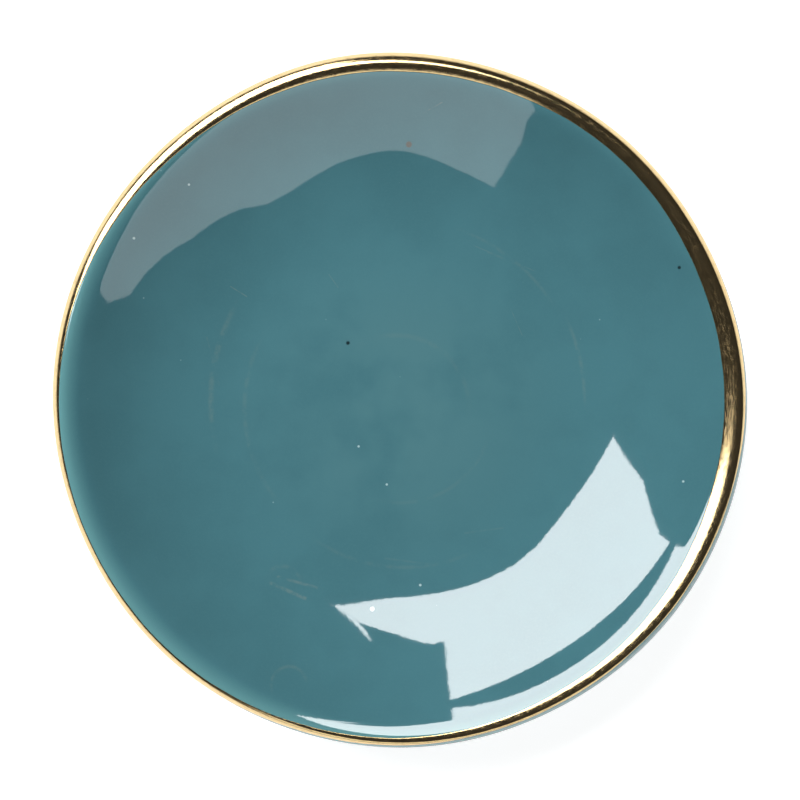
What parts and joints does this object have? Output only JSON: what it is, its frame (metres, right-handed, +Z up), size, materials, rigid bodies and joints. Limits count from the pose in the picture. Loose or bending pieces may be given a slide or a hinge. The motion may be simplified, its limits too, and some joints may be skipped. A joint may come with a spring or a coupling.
{
  "type": "ring dish",
  "caption": "Shallow round glazed stoneware dish with a rounded lip, a gold lustre band and a bare clay foot ring, for holding rings and small jewellery.",
  "frame": {"origin": "middle of the foot ring, on the plane that the dish rests on", "axes": "+Z up, along the axis that the dish was turned on; X and Y lie in the plane of the table"},
  "size_m": [0.0901, 0.0901, 0.0151],
  "materials": {
    "bare_clay": "unglazed, fine grit, matte",
    "teal_glaze": "high gloss, pooled darker in the well",
    "teal_glaze_thin": "gloss, paler where the coat is thin",
    "gold_lustre": "polished, brushed on by hand"
  },
  "bodies": {
    "root": {"clay_body": "bare_clay", "glaze_inside": "teal_glaze", "glaze_outside": "teal_glaze_thin", "glaze_base": "teal_glaze_thin", "gold_rim": "gold_lustre"}
  },
  "joints": []
}
